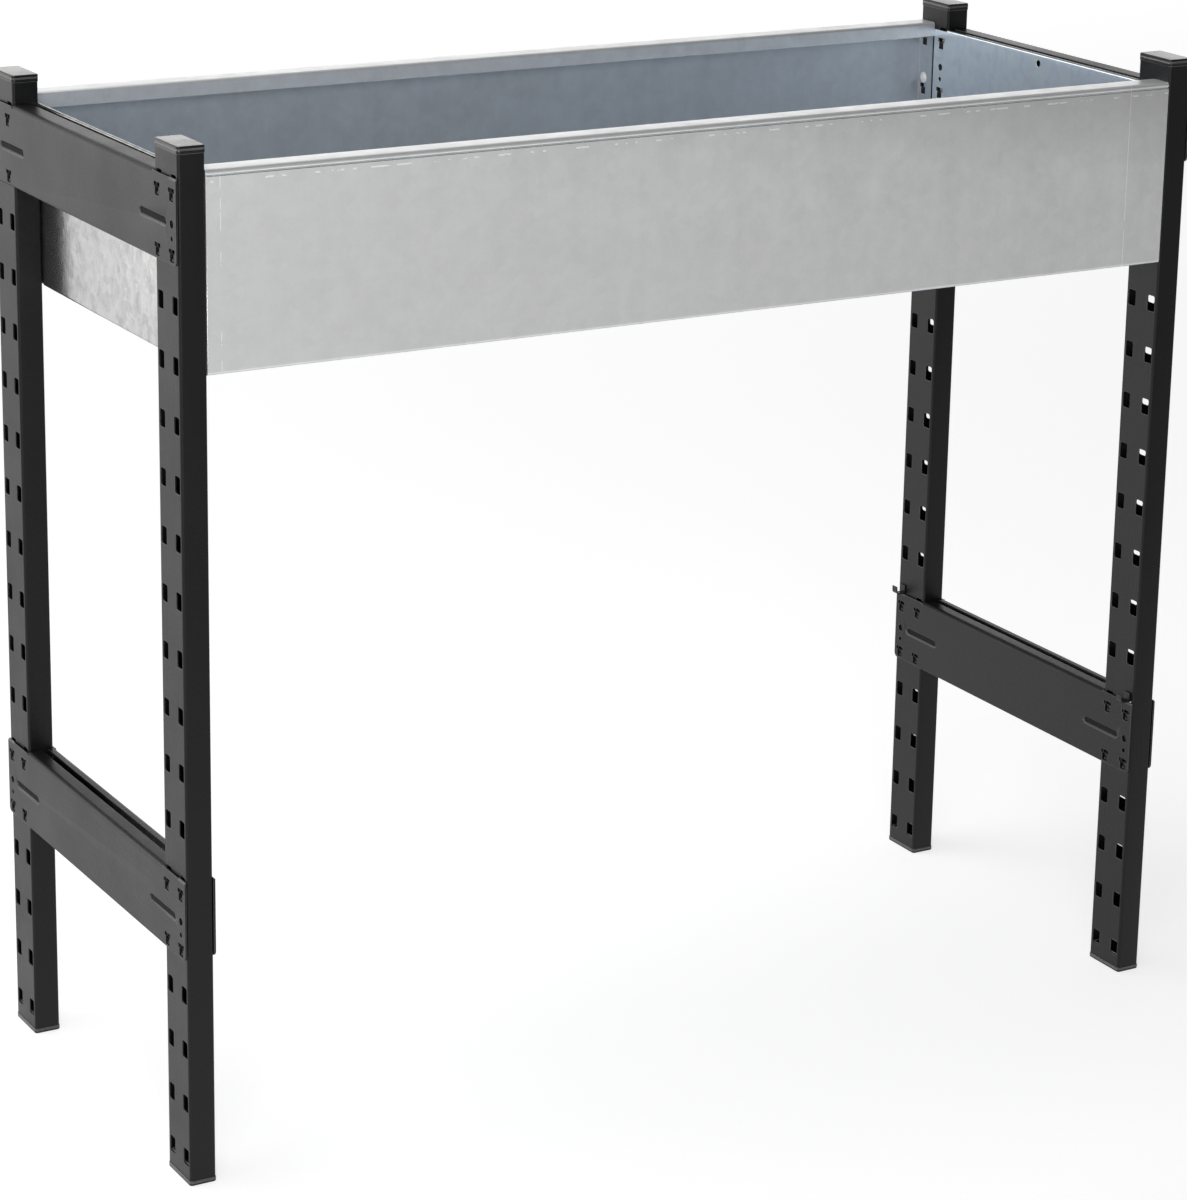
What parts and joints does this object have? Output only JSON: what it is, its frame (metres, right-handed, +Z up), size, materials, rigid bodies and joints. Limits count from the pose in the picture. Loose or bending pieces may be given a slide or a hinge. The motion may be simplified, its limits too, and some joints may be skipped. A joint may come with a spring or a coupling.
{
  "type": "raised planter on legs",
  "caption": "Raised planter: a boltless frame of slotted black steel posts and hooked cross-beams that carries a galvanised steel trough at hip height.",
  "frame": {"origin": "centre of the footprint, on the floor under the four foot caps", "axes": "+X along the long side towards the end with the locking clips, +Y from the front to the back, +Z up"},
  "size_m": [1.0206, 0.403, 0.906],
  "materials": {
    "black_steel": "satin black powder coat with a fine texture",
    "black_plastic": "moulded, lightly grained",
    "galvanised_steel": "bright galvanised sheet with a faint spangle",
    "spring_steel": "blackened spring strip, slightly glossy",
    "white_plastic": "moulded white plastic"
  },
  "bodies": {
    "frame": {"upright_front_left": "black_steel", "top_cap_front_left": "black_plastic", "foot_cap_front_left": "black_plastic", "upright_back_left": "black_steel", "top_cap_back_left": "black_plastic", "foot_cap_back_left": "black_plastic", "upright_front_right": "black_steel", "top_cap_front_right": "black_plastic", "foot_cap_front_right": "black_plastic", "upright_back_right": "black_steel", "top_cap_back_right": "black_plastic", "foot_cap_back_right": "black_plastic", "cross_beam_upper_left": "black_steel", "cross_beam_lower_outer_left": "black_steel", "cross_beam_lower_inner_left": "black_steel", "end_panel_left": "galvanised_steel", "cross_beam_upper_right": "black_steel", "cross_beam_lower_outer_right": "black_steel", "cross_beam_lower_inner_right": "black_steel", "end_panel_right": "galvanised_steel", "long_panel_front": "galvanised_steel", "long_panel_back": "galvanised_steel", "panel_plugs": "white_plastic", "floor_panel_1": "galvanised_steel", "floor_panel_2": "galvanised_steel", "floor_panel_3": "galvanised_steel", "floor_panel_4": "galvanised_steel"},
    "clip_front": {"lock_clip_front": "spring_steel"},
    "clip_back": {"lock_clip_back": "spring_steel"}
  },
  "joints": [
    {"name": "clip_front_slide", "type": "slide", "parent": "frame", "child": "clip_front", "axis": [-1, 0, 0], "range_m": [0, 0.012]},
    {"name": "clip_back_slide", "type": "slide", "parent": "frame", "child": "clip_back", "axis": [-1, 0, 0], "range_m": [0, 0.012]}
  ]
}
